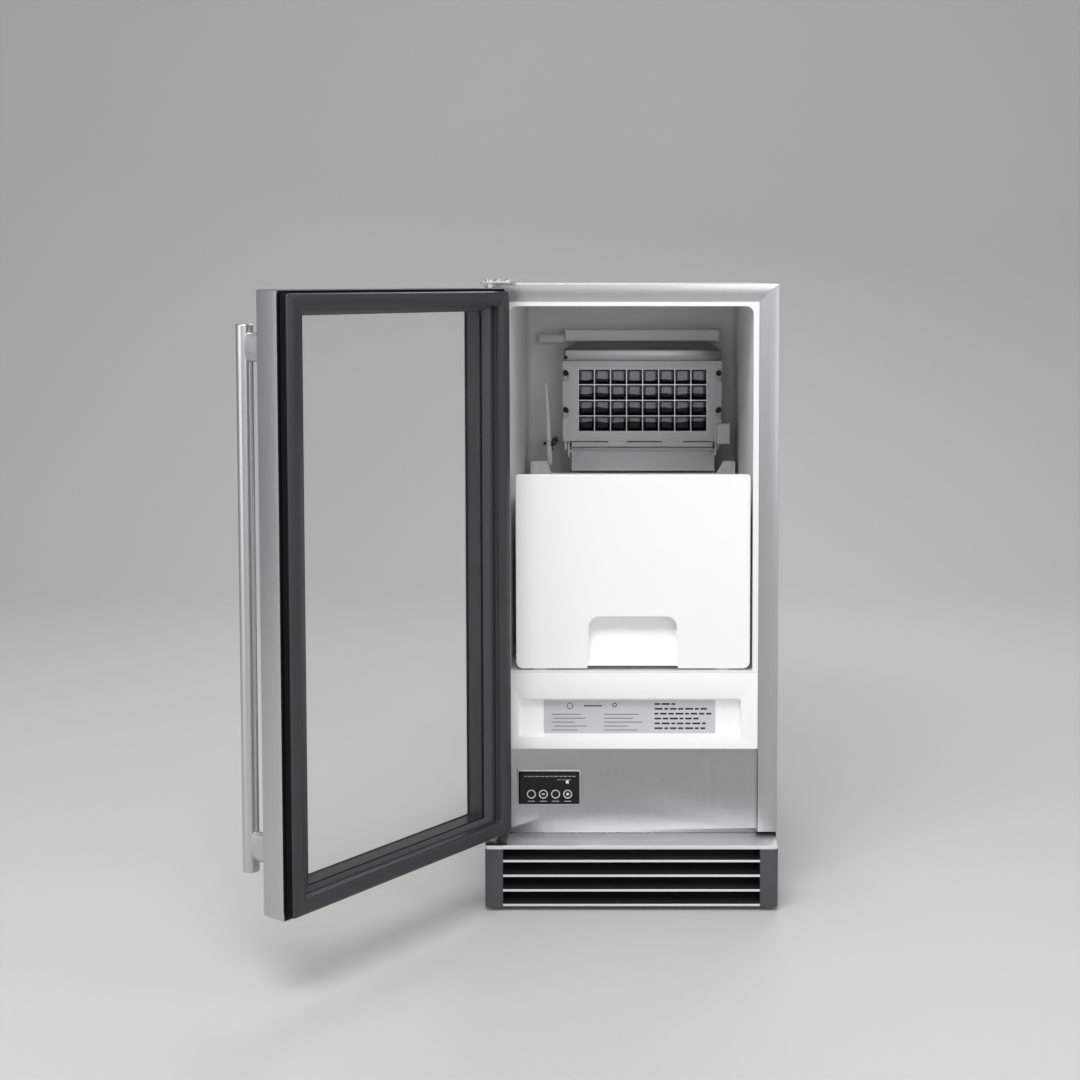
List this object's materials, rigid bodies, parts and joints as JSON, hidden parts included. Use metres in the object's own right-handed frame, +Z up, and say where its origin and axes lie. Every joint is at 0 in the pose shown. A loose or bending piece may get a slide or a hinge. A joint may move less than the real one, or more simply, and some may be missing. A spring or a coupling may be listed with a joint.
{
  "type": "under-counter ice maker",
  "caption": "Under-counter ice maker: steel cabinet, see-through side-hinged door standing open, cube evaporator above a pull-out ice bin, push-button panel and louvred kick grille.",
  "frame": {"origin": "on the floor, under the middle of the cabinet's footprint", "axes": "+X to the right seen from the front, +Y to the rear, +Z up"},
  "size_m": [0.6332, 0.8897, 0.804],
  "materials": {
    "stainless": "satin",
    "galvanised": "satin",
    "white_abs": "satin",
    "liner_white": "satin",
    "foam": "matte",
    "label_grey": "matte",
    "black_gloss": "gloss",
    "lens": "gloss",
    "pcb": "satin",
    "button_black": "satin",
    "stile_grey": "satin",
    "louvre": "satin",
    "hinge_steel": "satin",
    "screw_steel": "satin",
    "evap_plastic": "satin",
    "nickel_grid": "satin",
    "copper": "satin",
    "black_plastic": "matte",
    "black_metal": "satin",
    "aluminium": "satin",
    "gasket_rubber": "matte",
    "door_core": "satin",
    "glazing": "gloss",
    "clear_plastic": "satin",
    "foot_plastic": "matte",
    "nylon": "satin",
    "handle_steel": "satin"
  },
  "bodies": {
    "cabinet": {"side_panel_left": "stainless", "side_panel_right": "stainless", "top_panel": "stainless", "rear_panel": "galvanised", "base_pan": "galvanised", "front_trim": "stainless", "liner": "liner_white", "foam_insulation": "foam", "fascia": "white_abs", "rating_plate": "label_grey", "service_panel": "stainless", "control_bezel": "black_gloss", "indicator_lens": "lens", "control_board": "pcb", "plinth_stiles": "stile_grey", "plinth_ledge": "stainless", "grille_louvres": "louvre", "hinge_plate_top": "hinge_steel", "hinge_bracket_bottom": "black_metal", "hinge_pins": "screw_steel", "evaporator_frame": "evap_plastic", "evaporator_grid": "nickel_grid", "evaporator_tube": "copper", "distributor_cover": "evap_plastic", "distributor_tube": "nylon", "pan_head_screws": "screw_steel", "bin_switch_box": "nylon", "water_sump": "evap_plastic", "lever_pivot": "black_plastic", "compressor": "black_metal", "condenser": "aluminium", "fan_shroud": "black_plastic", "fan_motor": "black_metal", "refrigerant_line": "copper", "drain_pump": "black_plastic", "water_inlet_valve": "nylon", "drain_connector": "black_plastic", "mains_inlet": "black_plastic"},
    "door": {"door_shell": "stainless", "door_inner_frame": "door_core", "gasket": "gasket_rubber", "glass_outer": "glazing", "glass_inner": "glazing", "glass_spacer": "aluminium", "hinge_bushes": "nylon", "handle_bar": "handle_steel", "handle_posts": "handle_steel"},
    "ice_bin": {"ice_bin_front": "white_abs", "ice_bin_tub": "white_abs"},
    "ice_flap": {"ice_flap": "clear_plastic"},
    "level_lever": {"level_lever": "nylon"},
    "fan": {"fan_blade": "black_plastic"},
    "button_power": {"button_power": "button_black"},
    "button_light": {"button_light": "button_black"},
    "button_clean": {"button_clean": "button_black"},
    "button_mode": {"button_mode": "button_black"},
    "foot_front_left": {"levelling_foot_front_left": "foot_plastic"},
    "foot_front_right": {"levelling_foot_front_right": "foot_plastic"},
    "foot_rear_left": {"levelling_foot_rear_left": "foot_plastic"},
    "foot_rear_right": {"levelling_foot_rear_right": "foot_plastic"}
  },
  "joints": [
    {"name": "door_swing", "type": "hinge", "parent": "cabinet", "child": "door", "pos_m": [-0.178, -0.294, 0.445], "axis": [0, 0, -1], "range_deg": [-126.5, 8]},
    {"name": "bin_slide", "type": "slide", "parent": "cabinet", "child": "ice_bin", "axis": [0, -1, 0], "range_m": [0, 0.28]},
    {"name": "ice_flap_hang", "type": "hinge", "parent": "cabinet", "child": "ice_flap", "pos_m": [0.01, 0.06, 0.558], "axis": [-1, 0, 0], "range_deg": [-3, 17]},
    {"name": "level_lever_tilt", "type": "hinge", "parent": "cabinet", "child": "level_lever", "pos_m": [-0.1214, 0.057, 0.5625], "axis": [1, 0, 0], "range_deg": [0, 10], "stiffness_Nm_per_rad": 0.05},
    {"name": "fan_spin", "type": "hinge", "parent": "cabinet", "child": "fan", "pos_m": [-0.045, -0.143, 0.102], "axis": [0, 1, 0], "continuous": true},
    {"name": "button_power_press", "type": "slide", "parent": "cabinet", "child": "button_power", "axis": [0, 1, 0], "range_m": [0, 0.0012], "stiffness_N_per_m": 250},
    {"name": "button_light_press", "type": "slide", "parent": "cabinet", "child": "button_light", "axis": [0, 1, 0], "range_m": [0, 0.0012], "stiffness_N_per_m": 250},
    {"name": "button_clean_press", "type": "slide", "parent": "cabinet", "child": "button_clean", "axis": [0, 1, 0], "range_m": [0, 0.0012], "stiffness_N_per_m": 250},
    {"name": "button_mode_press", "type": "slide", "parent": "cabinet", "child": "button_mode", "axis": [0, 1, 0], "range_m": [0, 0.0012], "stiffness_N_per_m": 250},
    {"name": "foot_front_left_level", "type": "slide", "parent": "cabinet", "child": "foot_front_left", "axis": [0, 0, -1], "range_m": [0, 0.012]},
    {"name": "foot_front_right_level", "type": "slide", "parent": "cabinet", "child": "foot_front_right", "axis": [0, 0, -1], "range_m": [0, 0.012]},
    {"name": "foot_rear_left_level", "type": "slide", "parent": "cabinet", "child": "foot_rear_left", "axis": [0, 0, -1], "range_m": [0, 0.012]},
    {"name": "foot_rear_right_level", "type": "slide", "parent": "cabinet", "child": "foot_rear_right", "axis": [0, 0, -1], "range_m": [0, 0.012]}
  ]
}
